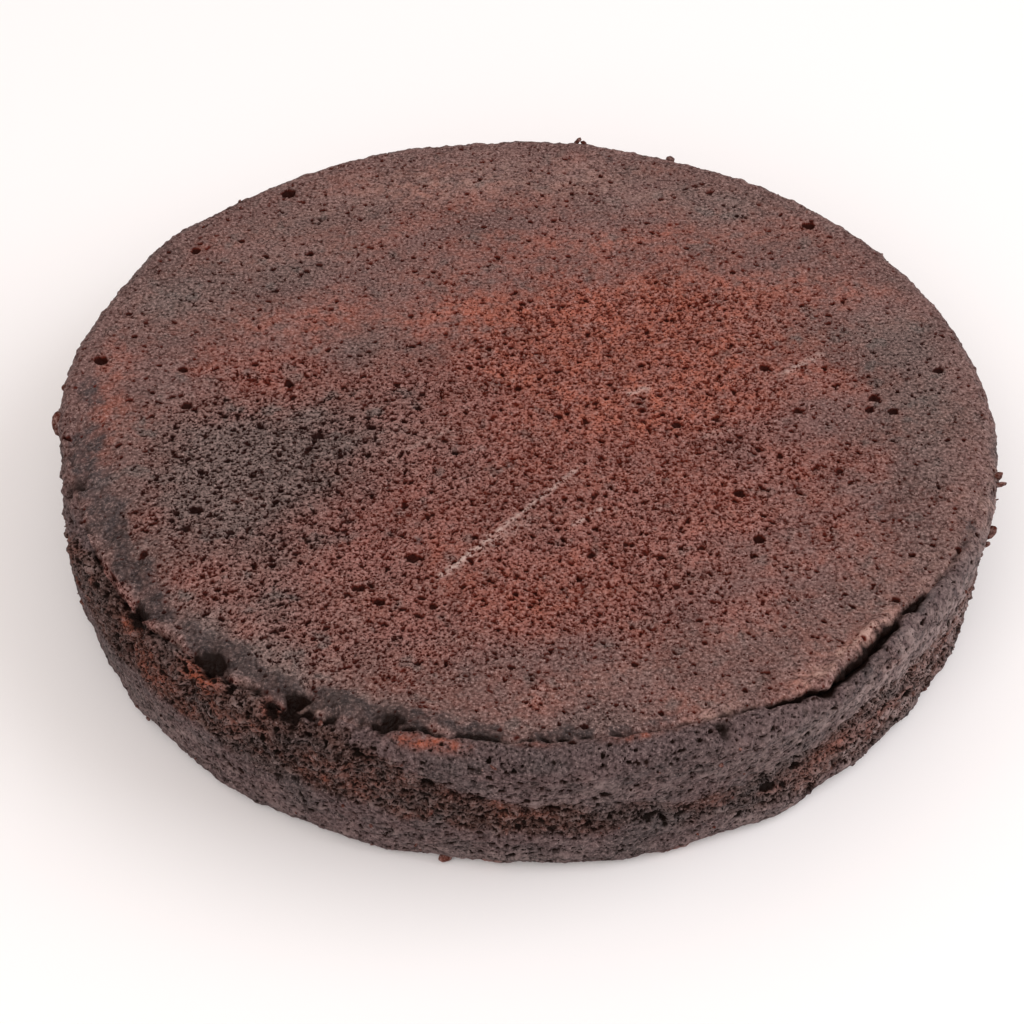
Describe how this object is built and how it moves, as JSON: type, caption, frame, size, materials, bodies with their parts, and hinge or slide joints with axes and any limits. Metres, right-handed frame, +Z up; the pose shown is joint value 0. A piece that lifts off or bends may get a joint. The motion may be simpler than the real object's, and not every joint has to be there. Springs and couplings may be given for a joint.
{
  "type": "chocolate fudge cake",
  "caption": "Whole round one-layer chocolate fudge cake, plain and un-iced, turned out upside down, with a pitted flat top, a torn rim crease and a ragged wall.",
  "frame": {"origin": "centre of the flat base, on the surface that the cake stands on", "axes": "+Z up through the top, -Y towards the torn side of the rim, +X to the right as seen from there"},
  "size_m": [0.1997, 0.1998, 0.0349],
  "materials": {
    "fudge_crumb": "dark moist chocolate crumb with a soft waxy sheen"
  },
  "bodies": {
    "root": {"cake": "fudge_crumb"}
  },
  "joints": []
}
